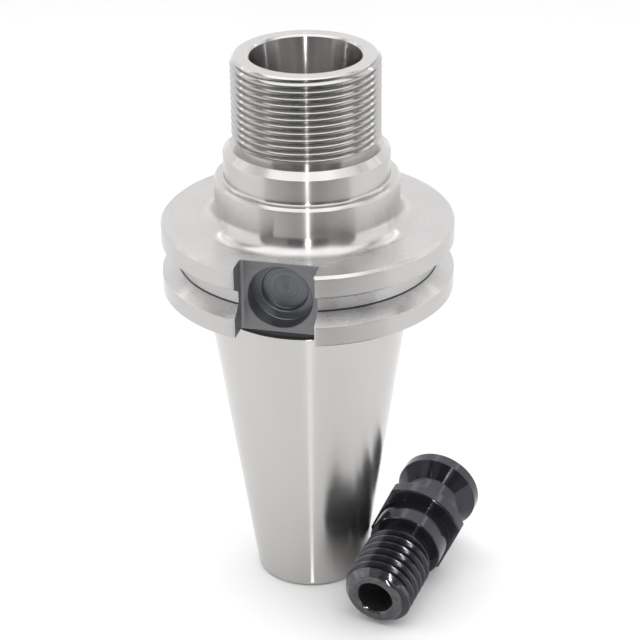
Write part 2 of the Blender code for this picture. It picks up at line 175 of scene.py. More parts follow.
# Single soft boxes: name, property with the radiance, width, height, place, and the point that they face
SINGLE_BOXES = (
    ("rear_box", "rear", 2.4, 0.9, (0, 0.80, 0.45), (0, 0, 0.45)),
    ("rear_top_box", "rear_top", 2.2, 0.5, (0, 0.62, 0.95), (0, 0, 0.10)),
    ("top_box", "top", 0.60, 0.50, (0, -0.11, 0.50), (0, -0.11, 0)),
    ("front_strip", "strip", 0.018, 0.60, (0, -1.1, 0.36), (0, 0, 0.20)),
)

# Thin lights that lie on the table in front of the taper: width, length, and distance from the axis
TABLE_STRIPS = ((0.0008, 0.030, 0.026), (0.0014, 0.040, 0.061), (0.0023, 0.100, 0.131))
TABLE_STRIP_HEIGHT = 0.001

SENSOR_WIDTH = 36.0
CLIP_START = 0.01


def number(name, description, default, **rest):
    return bpy.props.FloatProperty(name=name, description=description, default=default, **rest)


def length(name, description, default):
    return number(name, description, default, min=0.0, precision=5, unit="LENGTH")


def turn(name, description, degrees):
    return number(name, description, math.radians(degrees), subtype="ANGLE")


def share(name, description, default):
    return number(name, description, default, min=0.0, max=1.0)


def power(name, description, default):
    return number(name, description, default, min=0.0)


def colour(name, description, default):
    return bpy.props.FloatVectorProperty(
        name=name, description=description, default=default, min=0.0, max=1.0, size=3, subtype="COLOR"
    )


class HolderSizes(bpy.types.PropertyGroup):
    """Sizes of the holder."""

    gauge_diameter: length("Gauge Diameter", "Taper's diameter at its large end", 0.04445)
    taper_length: length("Taper Length", "From the small end up to the gauge line", 0.0684)
    flange_diameter: length("Flange Diameter", "Outside of the flange", 2 * HOLDER_HIGH.x)
    flange_offset: length("Flange Offset", "From the gauge line up to the flange", 0.0032)
    flange_thickness: length("Flange Thickness", "Height of the flange", 0.0159)
    groove_offset: length("Groove Offset", "From the gauge line up to the middle of the groove", 0.0111)
    groove_width: length("Groove Width", "Groove's width at the flange's outside", 0.00707)
    groove_depth: length("Groove Depth", "Depth of the gripper groove", 0.00365)
    slot_width: length("Slot Width", "Width of both drive slots", 0.0169)
    front_floor: length("Front Slot Floor", "From the axis to the front slot's floor", 0.0252)
    rear_floor: length("Rear Slot Floor", "From the axis to the rear slot's floor", 0.0228)
    pocket_diameter: length("Pocket Diameter", "Round pocket in the front slot's floor", 0.0139)
    pocket_depth: length("Pocket Depth", "From the slot's floor to the pocket's ledge", 0.0040)
    pocket_ledge: length("Pocket Ledge", "Width of the ledge in the pocket", 0.00195)
    pocket_inner_depth: length("Pocket Inner Depth", "From the ledge to the pocket's end", 0.0015)
    neck_diameter: length("Neck Diameter", "The wider of the two steps on the flange", 0.0400)
    neck_length: length("Neck Length", "Height of the neck", 0.0098)
    neck_fillet: length("Neck Fillet", "Radius between the neck and the flange", 0.0036)
    collar_diameter: length("Collar Diameter", "The narrower of the two steps", 0.0359)
    collar_length: length("Collar Length", "Height of the collar", 0.0070)
    collar_chamfer: length("Collar Chamfer", "Chamfer at the collar's top", 0.0015)
    thread_diameter: length("Nose Thread Diameter", "Outside of the nose thread", 0.0319)
    thread_pitch: length("Nose Thread Pitch", "Rise of the nose thread in one turn", 0.0015)
    thread_crest: length("Nose Thread Crest", "Height of one crest at the +X side", 0.121618)
    nose_end: length("Nose End", "Height of the whole holder", HOLDER_HIGH.z)
    mouth_diameter: length("Bore Mouth Diameter", "Collet seat's diameter at the nose", 0.0247)
    seat_half_angle: turn("Seat Half Angle", "Half the collet seat's cone angle", 8.0)
    seat_length: length("Seat Length", "Depth of the collet seat", 0.0270)
    bore_depth: length("Bore Depth", "Depth of the clearance bore from the nose", 0.0620)
    passage_diameter: length("Passage Diameter", "Hole between the bore and the socket", 0.0110)


class StudSizes(bpy.types.PropertyGroup):
    """Sizes of the pull stud, and how it lies."""

    thread_diameter: length("Thread Diameter", "Outside of the stud's thread", 0.015875)
    thread_pitch: length("Thread Pitch", "Rise of the stud's thread in one turn", 0.002309)
    thread_length: length("Thread Length", "From the thread end to the groove", 0.0163)
    thread_crest: length("Thread Crest", "Place of one crest along the stud", 0.00179)
    end_chamfer: length("End Chamfer", "Chamfer at the thread's end", 0.0018375)
    groove_width: length("Groove Width", "Relief between the thread and the pilot", 0.0022)
    pilot_diameter: length("Pilot Diameter", "Pilot that centres the stud", 0.0168)
    pilot_length: length("Pilot Length", "Length of the pilot", 0.00635)
    collar_diameter: length("Collar Diameter", "Outside of the collar", 0.0225)
    collar_thickness: length("Collar Thickness", "Thickness of the collar", 0.0032)
    wrench_size: length("Wrench Size", "Across the collar's flats", 0.0180)
    neck_diameter: length("Neck Diameter", "Neck below the head", 0.01295)
    neck_fillet: length("Neck Fillet", "Radius between the neck and the collar", 0.0008)
    head_diameter: length("Head Diameter", "Outside of the head", 0.01895)
    head_rim: length("Head Rim", "Straight rim of the head", 0.0028)
    head_reach: length("Head Reach", "From the collar's seat to the head's end", 0.01705)
    hole_diameter: length("Hole Diameter", "Hole through the stud", 0.0080)
    azimuth: turn("Azimuth", "Stud's axis, turned from +Y towards +X", 10.3)
    flats_roll: turn("Flats Roll", "Flats, rolled about the stud's axis", 25.0)


class SteelFinish(bpy.types.PropertyGroup):
    """Colours and polish of the bright and the blackened steel, and the near-black painted shade in the
    undercut.
    """

    ground_colour: colour("Ground Steel", "Taper", (0.50, 0.488, 0.478))
    ground_roughness: share("Ground Roughness", "Polish of the ground steel", 0.15)
    turned_colour: colour("Turned Steel", "Faces and steps turned on a lathe", (0.46, 0.450, 0.443))
    turned_roughness: share("Turned Roughness", "Polish of the turned steel", 0.20)
    flange_colour: colour("Flange Steel", "Flange's top and gripper groove", (0.47, 0.462, 0.458))
    flange_roughness: share("Flange Roughness", "Polish of the flange", 0.28)
    bored_colour: colour("Bored Steel", "Inside of the bore", (0.42, 0.411, 0.407))
    bored_roughness: share("Bored Roughness", "Polish of the bore", 0.20)
    # Darker than the turned steel, partly as painted shade for the thread's valleys
    thread_colour_and_shade: colour("Threaded Steel", "Nose thread", (0.37, 0.363, 0.357))
    thread_roughness: share("Thread Roughness", "Polish of the thread", 0.15)
    slot_colour: colour("Blackened Slot", "Milled slots, left dark", (0.185, 0.185, 0.192))
    slot_roughness: share("Slot Roughness", "Polish of the slots", 0.40)
    pocket_colour: colour("Blackened Pocket", "Round pocket, left dark", (0.15, 0.155, 0.165))
    pocket_roughness: share("Pocket Roughness", "Polish of the pocket", 0.33)
    # Near-black painted shade for the undercut below the flange and the groove's inner corner, where the
    # steel lies in shade
    painted_shade_colour: colour("Scale", "Undercut and the groove's inner corner", (0.02, 0.02, 0.022))
    oxide_colour: colour("Black Oxide", "Pull stud", (0.044, 0.045, 0.055))
    oxide_worn: colour("Worn Oxide", "Pull stud's rubbed edges", (0.12, 0.12, 0.125))
    oxide_roughness: share("Oxide Roughness", "Polish of the pull stud", 0.11)


class StudioSettings(bpy.types.PropertyGroup):
    """Camera, floor and lights."""

    camera_distance: length("Camera Distance", "From the axis, along the floor", 0.42244)
    camera_height: length("Camera Height", "Above the floor", 0.27370)
    camera_turn: turn("Camera Turn", "Camera's place round the axis", 13.718)
    camera_pitch: turn("Camera Pitch", "How far the camera looks down", 26.617)
    camera_yaw: turn("Camera Yaw", "How far the camera looks aside", 0.330)
    camera_roll: turn("Camera Roll", "Camera's lean", -0.610)
    focal_length: number("Focal Length", "Of the lens, in millimetres", 120.09, min=1.0)
    floor_colour: colour("Floor", "Table under the holder", (0.87, 0.87, 0.87))
    # Dark painted shade on the table in front, which stands in for the unlit camera side of the room
    floor_painted_shade: colour("Floor Painted Shade", "Table in front, outside the picture", (0.05, 0.05, 0.05))
    floor_size: length("Floor Size", "Width of the table", 6.0)
    room: power("Room", "Brightness of the dim room", 0.035)
    side: power("Side Boxes", "Radiance of the soft boxes beside the holder", 1.5)
    rear: power("Rear Box", "Radiance of the soft box behind", 1.3)
    rear_top: power("Rear Top Box", "Radiance of the soft box behind and above", 1.5)
    top: power("Top Box", "Radiance of the soft box overhead", 2.3)
    table_strip: power("Table Strip", "Radiance of the thin lights on the table", 1.3)
    strip: power("Strip", "Radiance of the narrow light in front", 125.0)


# Meshes


def fillet(r, z, radius, finish, steps=FILLET_STEPS):
    """A concave fillet from a wall of radius r above the corner (r, z) outwards onto the face."""
    points = []
    for i in range(steps + 1):
        a = math.pi + i * math.pi / 2 / steps
        points.append((r + radius + radius * math.cos(a), z + radius + radius * math.sin(a), finish))
    return points


def softened(outline, sharp_at=None):
    """The closed outline with its corners rounded, apart from those at the height sharp_at."""
    made = []
    for i, (r, z, finish) in enumerate(outline):
        here = Vector((r, z))
        back = Vector(outline[i - 1][:2]) - here
        on = Vector(outline[(i + 1) % len(outline)][:2]) - here
        bend = math.pi - back.angle(on)
        if bend < ROUNDED_FROM or (sharp_at is not None and abs(z - sharp_at) < MERGE_DISTANCE):
            made.append((r, z, finish))
            continue
        cut = min(EDGE_ROUNDING * math.tan(bend / 2), min(back.length, on.length) * LONGEST_CUT_SHARE)
        first = here + back.normalized() * cut
        last = here + on.normalized() * cut
        for k in range(CORNER_STEPS + 1):
            t = k / CORNER_STEPS
            p = first * (1 - t) ** 2 + here * 2 * t * (1 - t) + last * t**2
            made.append((p.x, p.y, finish))
    return made


def core_radius(s):
    """Radius at the roots of a piece's thread."""
    return s.thread_diameter / 2 - THREAD_DEPTH_SHARE * s.thread_pitch


def object_of(name, bm):
    bmesh.ops.recalc_face_normals(bm, faces=bm.faces)
    mesh = bpy.data.meshes.new(name)
    bm.to_mesh(mesh)
    bm.free()
    obj = bpy.data.objects.new(name, mesh)
    bpy.context.scene.collection.objects.link(obj)
    return obj


def turned(name, outline, steps, offset=0.0):
    """A ring turned about Z from a closed outline of (radius, height, finish of the face that follows)."""
    bm = bmesh.new()
    rings = []
    for r, z, _ in outline:
        if r == 0:
            rings.append([bm.verts.new((0, 0, z))] * steps)
            continue
        angles = [2 * math.pi * (j + offset) / steps for j in range(steps)]
        rings.append([bm.verts.new((r * math.cos(a), r * math.sin(a), z)) for a in angles])
    for i, (_, _, finish) in enumerate(outline):
        upper, lower = rings[i], rings[(i + 1) % len(rings)]
        for j in range(steps):
            k = (j + 1) % steps
            corners = list(dict.fromkeys((upper[j], lower[j], lower[k], upper[k])))
            if len(corners) > 2:
                bm.faces.new(corners).material_index = finish
    return object_of(name, bm)


def threaded_sleeve(name, s, low, high, steps, finish):
    """A thin sleeve with a right-hand thread outside. Each turn's top edge is the next turn's bottom edge."""
    pitch = s.thread_pitch
    crest = s.thread_diameter / 2
    core = core_radius(s)
    inside = core - SLEEVE_WALL
    half_crest = CREST_FLAT_SHARE * pitch / 2
    half_base = half_crest + (1 - ROOT_FLAT_SHARE - CREST_FLAT_SHARE) * pitch / 2
    ease = CREST_EASE_SHARE * pitch
    eased = crest - ease * (crest - core) / (half_base - half_crest)
    bottom = half_base - pitch
    ridge = [
        (core, -half_base),
        (eased, -half_crest - ease),
        (crest, -half_crest + ease),
        (crest, half_crest - ease),
        (eased, half_crest + ease),
    ]
    start = s.thread_crest + math.floor((low - s.thread_crest) / pitch) * pitch
    count = math.ceil((high - start) / pitch * steps)
    bm = bmesh.new()

    def helix(r, z, length):
        """Points up the helix that starts at radius r, at the height z above the first crest."""
        points = []
        for j in range(length):
            a = 2 * math.pi * j / steps
            points.append(bm.verts.new((r * math.cos(a), r * math.sin(a), start + z + j * pitch / steps)))
        return points

    wall = helix(inside, bottom, count + steps)
    root = helix(core, bottom, count + steps)
    outside = [root[:count], *(helix(r, z, count) for r, z in ridge), root[steps:]]
    backs = [wall[steps:], wall[:count]]
    foot = (wall[:steps + 1], root[:steps + 1])
    top = (root[count - 1:], wall[count - 1:])
    for left, right in [*zip(outside, outside[1:]), backs, foot, top]:
        for j in range(len(left) - 1):
            bm.faces.new((left[j], left[j + 1], right[j + 1], right[j]))
    bm.faces.new([line[0] for line in outside + backs])
    bm.faces.new([line[-1] for line in outside + backs])
    for face in bm.faces:
        face.material_index = finish
    return object_of(name, bm)


def prism(name, sections, finish, others=()):
    """A block through sections of (height, outline) with as many points each.

    others gives (side, finish) pairs for the sides that differ.
    """
    bm = bmesh.new()
    rings = [[bm.verts.new((x, y, z)) for x, y in outline] for z, outline in sections]
    count = len(rings[0])
    for low, high in zip(rings, rings[1:]):
        for i in range(count):
            k = (i + 1) % count
            bm.faces.new((low[i], low[k], high[k], high[i]))
    bm.faces.new(rings[0])
    bm.faces.new(rings[-1])
    bm.faces.ensure_lookup_table()
    for face in bm.faces:
        face.material_index = finish
    for side, other in others:
        for level in range(len(sections) - 1):
            bm.faces[level * count + side].material_index = other
    return object_of(name, bm)


def give_slots(obj, finishes):
    for name in finishes[len(obj.data.materials):]:
        obj.data.materials.append(bpy.data.materials[name])


def machined(obj, joined, tools, finishes):
    """Joins some pieces, then cuts with some tools, and throws both away."""
    give_slots(obj, finishes)
    steps = [("UNION", piece) for piece in joined] + [("DIFFERENCE", tool) for tool in tools]
    for operation, tool in steps:
        give_slots(tool, finishes)
        change = obj.modifiers.new(tool.name, "BOOLEAN")
        change.operation = operation
        change.solver = "MANIFOLD"
        change.material_mode = "INDEX"
        change.object = tool
    bpy.context.view_layer.update()
    graph = bpy.context.evaluated_depsgraph_get()
    made = bpy.data.meshes.new_from_object(obj.evaluated_get(graph))
    obj.modifiers.clear()
    obj.data = made
    for _, tool in steps:
        bpy.data.objects.remove(tool, do_unlink=True)
    return obj


def welded(name, parts, height):
    """Joins two parts that meet at a height, without the faces between them."""
    bm = bmesh.new()
    for part in parts:
        bm.from_mesh(part.data)
        bpy.data.objects.remove(part, do_unlink=True)
    between = [f for f in bm.faces if all(abs(v.co.z - height) < MERGE_DISTANCE for v in f.verts)]
    bmesh.ops.delete(bm, geom=between, context="FACES")
    bmesh.ops.remove_doubles(bm, verts=bm.verts, dist=MERGE_DISTANCE)
    return object_of(name, bm)


def shaded(obj):
    """Smooth shading with sharp edges, where large faces keep their own direction."""
    obj.data.shade_smooth()
    obj.data.set_sharp_from_angle(angle=SMOOTH_ANGLE)
    weigh = obj.modifiers.new("Face weights", "WEIGHTED_NORMAL")
    weigh.keep_sharp = True
    weigh.weight = FACE_WEIGHT
    return obj


# Shader groups


def new_group(name, inputs, outputs):
    """A shader group with a position and some values as inputs, and some values as outputs."""
    group = bpy.data.node_groups.new(name, "ShaderNodeTree")
    group.interface.new_socket(name="Position", in_out="INPUT", socket_type="NodeSocketVector")
    for label, default in inputs.items():
        socket = group.interface.new_socket(name=label, in_out="INPUT", socket_type="NodeSocketFloat")
        socket.default_value = default
    for label in outputs:
        group.interface.new_socket(name=label, in_out="OUTPUT", socket_type="NodeSocketFloat")
    return group, group.nodes.new("NodeGroupInput").outputs, group.nodes.new("NodeGroupOutput").inputs


def node(tree, kind, settings=None, **inputs):
    """A new node. inputs are values or outputs to link, by the socket's name, or by i and its number."""
    made = tree.nodes.new(kind)
    for key, value in (settings or {}).items():
        setattr(made, key, value)
    for key, value in inputs.items():
        numbered = key[0] == "i" and key[1:].isdigit()
        plug(tree, value, made.inputs[int(key[1:]) if numbered else key])
    return made


def plug(tree, value, socket):
    if isinstance(value, bpy.types.NodeSocket):
        tree.links.new(value, socket)
    else:
        socket.default_value = value


def maths(tree, operation, a, b=0.0):
    return node(tree, "ShaderNodeMath", {"operation": operation}, i0=a, i1=b).outputs[0]


def noise_at(tree, vector, scale, detail=2.0, rough=0.5):
    made = node(tree, "ShaderNodeTexNoise", Vector=vector, Scale=scale, Detail=detail, Roughness=rough)
    return made.outputs["Fac"]


def from_xyz(tree, x, y, z=0.0):
    return node(tree, "ShaderNodeCombineXYZ", X=x, Y=y, Z=z).outputs[0]


def to_xyz(tree, vector):
    return node(tree, "ShaderNodeSeparateXYZ", Vector=vector).outputs


def vector_maths(tree, operation, a, b=(0, 0, 0)):
    """The outputs of a vector maths node."""
    return node(tree, "ShaderNodeVectorMath", {"operation": operation}, i0=a, i1=b).outputs


def spread(tree, value, low, high, to_low=0.0, to_high=1.0):
    """A smooth step from to_low to to_high, as a value goes from low to high."""
    smooth = {"interpolation_type": "SMOOTHSTEP"}
    made = node(tree, "ShaderNodeMapRange", smooth, i0=value, i1=low, i2=high, i3=to_low, i4=to_high)
    return made.outputs[0]


def weighted(tree, a, share_a, b, share_b):
    """The sum of two values' shares."""
    return maths(tree, "ADD", maths(tree, "MULTIPLY", a, share_a), maths(tree, "MULTIPLY", b, share_b))


def turning_marks():
    """Fine lines that a cutting tool leaves round an axis, which is Z of the given position."""
    group, given, out = new_group("Turning marks", {"Lines": 9000.0, "Wander": 60.0}, ("Height", "Tone"))
    at = to_xyz(group, given["Position"])
    radius = vector_maths(group, "LENGTH", from_xyz(group, at[0], at[1]))["Value"]
    along = maths(group, "ADD", at[2], maths(group, "MULTIPLY", radius, FACE_LINES_SHARE))
    lines = maths(group, "MULTIPLY", along, given["Lines"])
    x = maths(group, "MULTIPLY", at[0], given["Wander"])
    y = maths(group, "MULTIPLY", at[1], given["Wander"])
    fine = noise_at(group, from_xyz(group, x, y, lines), 1.0, detail=3.0, rough=0.6)
    slow = maths(group, "MULTIPLY", lines, BROAD_LINES_SHARE)
    broad = noise_at(group, from_xyz(group, x, y, slow), 1.0)
    plug(group, fine, out["Height"])
    plug(group, weighted(group, fine, 0.5, broad, 0.5), out["Tone"])


def handling_marks():
    """Faint cloudy marks that hands and cloths leave on steel."""
    group, given, out = new_group("Handling marks", {"Size": 90.0}, ("Smudge", "Grain"))
    cloud = noise_at(group, given["Position"], given["Size"], detail=4.0, rough=0.55)
    plug(group, spread(group, cloud, *SMUDGE_FADE), out["Smudge"])
    plug(group, noise_at(group, given["Position"], GRAIN_SCALE, rough=0.6), out["Grain"])


def edge_wear():
    """Where edges are rubbed bright."""
    group, given, out = new_group("Edge wear", {"Reach": 0.03}, ("Wear",))
    bend = node(group, "ShaderNodeNewGeometry").outputs["Pointiness"]
    high = maths(group, "ADD", given["Reach"], FLAT_POINTINESS)
    edge = spread(group, bend, FLAT_POINTINESS, high)
    patches = noise_at(group, given["Position"], WEAR_SCALE, detail=3.0, rough=0.6)
    patchy = spread(group, patches, *WEAR_FADE, LEAST_WEAR, 1.0)
    plug(group, maths(group, "MULTIPLY", edge, patchy), out["Wear"])


# Materials


def placed(tree, location, rotation):
    """Position in a space of its own, whose Z is a turning axis, and the direction round that axis."""
    position = node(tree, "ShaderNodeTexCoord").outputs["Object"]
    own = node(tree, "ShaderNodeMapping", {"vector_type": "TEXTURE"},
               Vector=position, Location=location, Rotation=rotation)
    axis = Euler(rotation).to_matrix() @ Vector((0, 0, 1))
    arm = vector_maths(tree, "SUBTRACT", position, location)[0]
    around = vector_maths(tree, "CROSS_PRODUCT", tuple(axis), arm)[0]
    return own.outputs[0], vector_maths(tree, "NORMALIZE", around)[0]


def tinted(tree, factor, low, high):
    """A colour between two, by a factor that changes over the surface. low may be an output."""
    start = low if isinstance(low, bpy.types.NodeSocket) else (*low, 1.0)
    mix = node(tree, "ShaderNodeMix", {"data_type": "RGBA"}, i0=factor, i6=start, i7=(*high, 1.0))
    return mix.outputs[2]


def effect(tree, group, **inputs):
    return node(tree, "ShaderNodeGroup", {"node_tree": bpy.data.node_groups[group]}, **inputs).outputs


def new_material(name):
    """A material and its node tree."""
    made = bpy.data.materials.new(name)
    made.use_nodes = True
    return made, made.node_tree


def set_surface(tree, values):
    """Gives the surface values or outputs to link, by socket name."""
    for name, value in values.items():
        plug(tree, value, tree.nodes["Principled BSDF"].inputs[name])


def lathe_steel(
    name, base, roughness, grooves=0.25, grain=0.05, anisotropy=1.0, metallic=1.0, contrast=0.10,
    lines=9000.0, location=(0, 0, 0), rotation=(0, 0, 0), worn=None,
):
    """Steel with the marks of turning or grinding round an axis, which draw its highlights out along it."""
    _, tree = new_material(name)
    position, around = placed(tree, location, rotation)
    marks = effect(tree, "Turning marks", Position=position, Lines=lines)
    hands = effect(tree, "Handling marks", Position=position)
    low = [c * (1 - contrast) for c in base]
    high = [min(1.0, c * (1 + contrast)) for c in base]
    tone = tinted(tree, marks["Tone"], low, high)
    if worn:
        tone = tinted(tree, effect(tree, "Edge wear", Position=position)["Wear"], tone, worn)
    uneven = weighted(tree, hands["Smudge"], roughness * SMUDGE_SHARE, marks["Tone"], roughness * LINES_SHARE)
    height = weighted(tree, marks["Height"], 1 - grain, hands["Grain"], grain)
    bump = node(tree, "ShaderNodeBump", Height=height, Strength=grooves, Distance=LINE_DEPTH)
    set_surface(tree, {
        "Base Color": tone,
        "Metallic": metallic,
        "Roughness": maths(tree, "ADD", uneven, roughness * EVEN_SHARE),
        "Normal": bump.outputs[0],
        "Anisotropic": anisotropy,
        "Anisotropic Rotation": QUARTER_TURN,
        "Tangent": around,
    })


def collar_seat(s):
    """From the stud's thread end to its collar."""
    return s.thread_length + s.groove_width + s.pilot_length


def taper_radius(s, z):
    return s.gauge_diameter / 2 - (s.taper_length - z) * TAPER_RATE / 2


def stud_turn(s):
    """How the stud lies: the place of its thread end's centre and its turn."""
    crest = s.thread_diameter / 2
    collar = s.collar_diameter / 2
    crest_at = s.thread_crest + s.thread_pitch * (QUARTER_TURN - CREST_FLAT_SHARE / 2)
    collar_at = collar_seat(s) + STUD_EDGE_CHAMFER
    tilt = math.atan((collar - crest) / (collar_at - crest_at))
    height = crest * math.cos(tilt) - crest_at * math.sin(tilt)
    lie = Euler((tilt - math.pi / 2, 0, -s.azimuth))
    centre = lie.to_matrix() @ Vector((0, 0, collar_at))
    edge = math.pi + s.flats_roll - math.acos(s.wrench_size / s.collar_diameter)
    corner = lie.to_matrix() @ Vector((collar * math.cos(edge), collar * math.sin(edge), collar_at))
    taper = taper_radius(bpy.context.scene.holder_sizes, height + corner.z)
    y = STUD_COLLAR_Y - centre.y
    x = math.sqrt((taper + STUD_TO_TAPER_GAP) ** 2 - (y + corner.y) ** 2) - corner.x
    return Vector((x, y, height)), lie


class TOOLHOLDER_OT_finishes(bpy.types.Operator):
    """Makes the steel finishes of both pieces"""

    bl_idname = "toolholder.finishes"
    bl_label = "Steel Finishes"

    def execute(self, context):
        f = context.scene.steel_finish
        s = context.scene.holder_sizes
        turning_marks()
        handling_marks()
        edge_wear()
        lathe_steel("ground_taper", f.ground_colour, f.ground_roughness,
                    grooves=1.0, grain=0.008, metallic=0.96, contrast=0.05, lines=14000.0)
        lathe_steel("turned_faces", f.turned_colour, f.turned_roughness,
                    metallic=0.88, contrast=0.08, lines=7000.0)
        lathe_steel("turned_flange", f.flange_colour, f.flange_roughness,
                    grooves=0.12, metallic=0.80, contrast=0.08, lines=7000.0)
        lathe_steel("turned_bore", f.bored_colour, f.bored_roughness, lines=6000.0)
        # The thread's darker colour is partly painted shade for its valleys
        lathe_steel("cut_thread", f.thread_colour_and_shade, f.thread_roughness, contrast=0.06)
        lathe_steel("blackened_slot", f.slot_colour, f.slot_roughness,
                    anisotropy=0.3, metallic=0.6, contrast=0.25)
        # Painted shade: a near-black finish for the undercut and the groove's inner corner
        lathe_steel("undercut_scale", f.painted_shade_colour, f.slot_roughness,
                    anisotropy=0.0, metallic=0.3, contrast=0.20)
        pocket_centre = (0, -s.front_floor, s.taper_length + s.groove_offset)
        lathe_steel("blackened_pocket", f.pocket_colour, f.pocket_roughness,
                    grooves=1.0, anisotropy=0.6, metallic=0.7, contrast=0.95, lines=1900.0,
                    location=pocket_centre, rotation=(math.pi / 2, 0, 0))
        place, lie = stud_turn(context.scene.stud_sizes)
        # The dimmer oxide of the thread and the hole is painted shade
        for name, (dim, grain, dull) in zip(STUD_FINISHES, OXIDE_KINDS):
            lathe_steel(name, [c * dim for c in f.oxide_colour], f.oxide_roughness * dull,
                        grain=grain, anisotropy=0.7, metallic=0.70, contrast=0.15, lines=6000.0,
                        location=tuple(place), rotation=tuple(lie), worn=f.oxide_worn)
        return {"FINISHED"}


def groove_outline(s):
    """The gripper groove, from its upper flank down to its lower one, with rounded corners at its floor. The
    lower corner's facets get the near-black painted shade.
    """
    half = s.groove_width / 2
    middle = s.taper_length + s.groove_offset
    outside = s.flange_diameter / 2
    floor = outside - s.groove_depth
    bend = math.pi / 2 - GROOVE_HALF_ANGLE
    floor_half = half - s.groove_depth * math.tan(GROOVE_HALF_ANGLE) - GROOVE_FILLET * math.tan(bend / 2)
    corner = []
    for i in range(GROOVE_FILLET_STEPS + 1):
        a = i * bend / GROOVE_FILLET_STEPS
        corner.append((floor + GROOVE_FILLET * (1 - math.cos(a)), floor_half + GROOVE_FILLET * math.sin(a)))
    upper = [(r, middle + z, SATIN) for r, z in reversed(corner)]
    # The lower corner's facets carry the undercut's painted shade
    lower = [(r, middle - z, UNDERCUT) for r, z in corner[:-1]]
    end = (corner[-1][0], middle - corner[-1][1], SATIN)
    return [(outside, middle + half, SATIN), *upper, *lower, end, (outside, middle - half, TURNED)]


def seat_radius(s, z):
    """Radius of the collet seat, which narrows downwards from the foot of the mouth's chamfer."""
    top = s.nose_end - BORE_MOUTH_CHAMFER
    return s.mouth_diameter / 2 - BORE_MOUTH_CHAMFER - (top - z) * math.tan(s.seat_half_angle)


def lower_outline(s, cut):
    """The holder below the height of the cut, which is in the collar."""
    back = s.taper_length + s.flange_offset
    flange_top = back + s.flange_thickness
    neck_top = flange_top + s.neck_length
    outside = s.flange_diameter / 2
    neck = s.neck_diameter / 2
    collar = s.collar_diameter / 2
    large = taper_radius(s, s.taper_length)
    undercut = large - UNDERCUT_DEPTH
    # The undercut below the flange carries the near-black painted shade
    upright = fillet(undercut, back, UNDERCUT_FILLET, UNDERCUT, SMALL_FILLET_STEPS)
    return [
        (seat_radius(s, cut), cut, TURNED),
        (collar, cut, TURNED),
        *fillet(collar, neck_top, COLLAR_FILLET, TURNED, SMALL_FILLET_STEPS),
        (neck - NECK_EDGE_CHAMFER, neck_top, TURNED),
        (neck, neck_top - NECK_EDGE_CHAMFER, TURNED),
        *fillet(neck, flange_top, s.neck_fillet, TURNED)[:-1],
        (neck + s.neck_fillet, flange_top, SATIN),
        (outside - FLANGE_TOP_CHAMFER, flange_top, TURNED),
        (outside, flange_top - FLANGE_TOP_CHAMFER, TURNED),
        *groove_outline(s),
        (outside, back + FLANGE_BACK_CHAMFER, TURNED),
        (outside - FLANGE_BACK_CHAMFER, back, TURNED),
        *((r, 2 * back - z, finish) for r, z, finish in reversed(upright)),
        (undercut, s.taper_length + UNDERCUT_DEPTH, UNDERCUT),
        (large, s.taper_length, GROUND),
        (taper_radius(s, TAPER_END_CHAMFER), TAPER_END_CHAMFER, TURNED),
        (taper_radius(s, 0) - TAPER_END_CHAMFER, 0.0, TURNED),
        *lower_bore_outline(s),
    ]


def lower_bore_outline(s):
    """From the small end up: the stud's socket, the passage, the clearance bore and the seat."""
    stud = bpy.context.scene.stud_sizes
    pilot = stud.pilot_diameter / 2 + SOCKET_CLEARANCE
    pilot_depth = stud.pilot_length + SOCKET_PILOT_SPARE
    tapped = core_radius(stud) + SOCKET_CLEARANCE
    tapped_depth = collar_seat(stud) + SOCKET_THREAD_SPARE
    passage = s.passage_diameter / 2
    seat_end = s.nose_end - BORE_MOUTH_CHAMFER - s.seat_length
    bore = seat_radius(s, seat_end)
    bore_end = s.nose_end - s.bore_depth
    rise = 1 / math.tan(DRILL_HALF_ANGLE)
    points = [
        (pilot + SOCKET_MOUTH_CHAMFER, 0.0),
        (pilot, SOCKET_MOUTH_CHAMFER),
        (pilot, pilot_depth),
        (tapped + SOCKET_MOUTH_CHAMFER, pilot_depth),
        (tapped, pilot_depth + SOCKET_MOUTH_CHAMFER),
        (tapped, tapped_depth),
        (passage, tapped_depth + (tapped - passage) * rise),
        (passage, bore_end - (bore - passage) * rise),
        (bore, bore_end),
        (bore, seat_end),
    ]
    return [(r, z, BORED) for r, z in points]


def nose_outline(s, cut):
    """The holder above the cut, before its thread, facing and relief."""
    core = core_radius(s) - SLEEVE_WALL / 2
    stock = s.nose_end + FACING_STOCK
    collar = s.collar_diameter / 2
    collar_top = cut + s.collar_length / 2
    shoulder = collar_top + SHOULDER_STOCK
    return [
        (seat_radius(s, stock), stock, TURNED),
        (core, stock, THREADED),
        (core, shoulder, TURNED),
        (collar - s.collar_chamfer - SHOULDER_STOCK, shoulder, TURNED),
        (collar, collar_top - s.collar_chamfer, TURNED),
        (collar, cut, TURNED),
        (seat_radius(s, cut), cut, BORED),
    ]


def facing_outline(s):
    """The tool that faces the nose and chamfers its bore mouth and its thread."""
    end = s.nose_end
    mouth = s.mouth_diameter / 2
    crest = s.thread_diameter / 2
    above = end + FACING_STOCK + TOOL_MARGIN
    inside = 2 * BORE_MOUTH_CHAMFER
    outside = NOSE_END_CHAMFER + SLEEVE_WALL
    ease = EDGE_ROUNDING / 2
    points = [
        (mouth - inside, above),
        (crest + TOOL_MARGIN, above),
        (crest + TOOL_MARGIN, end - outside),
        (crest + SLEEVE_WALL, end - outside),
        (crest - NOSE_END_CHAMFER + ease, end - ease),
        (crest - NOSE_END_CHAMFER - ease, end),
        (mouth + ease, end),
        (mouth - ease, end - ease),
        (mouth - inside, end - inside),
    ]
    return [(r, z, TURNED) for r, z in points]


def relief_outline(s, collar_top):
    """The tool that cuts the relief at the thread's foot and faces the collar."""
    floor = core_radius(s) - NOSE_RELIEF_DEPTH
    reach = s.collar_diameter / 2
    top = collar_top + NOSE_RELIEF_WIDTH
    points = [(floor, top), (reach, top + reach - floor), (reach, collar_top), (floor, collar_top)]
    return [(r, z, TURNED) for r, z in points]


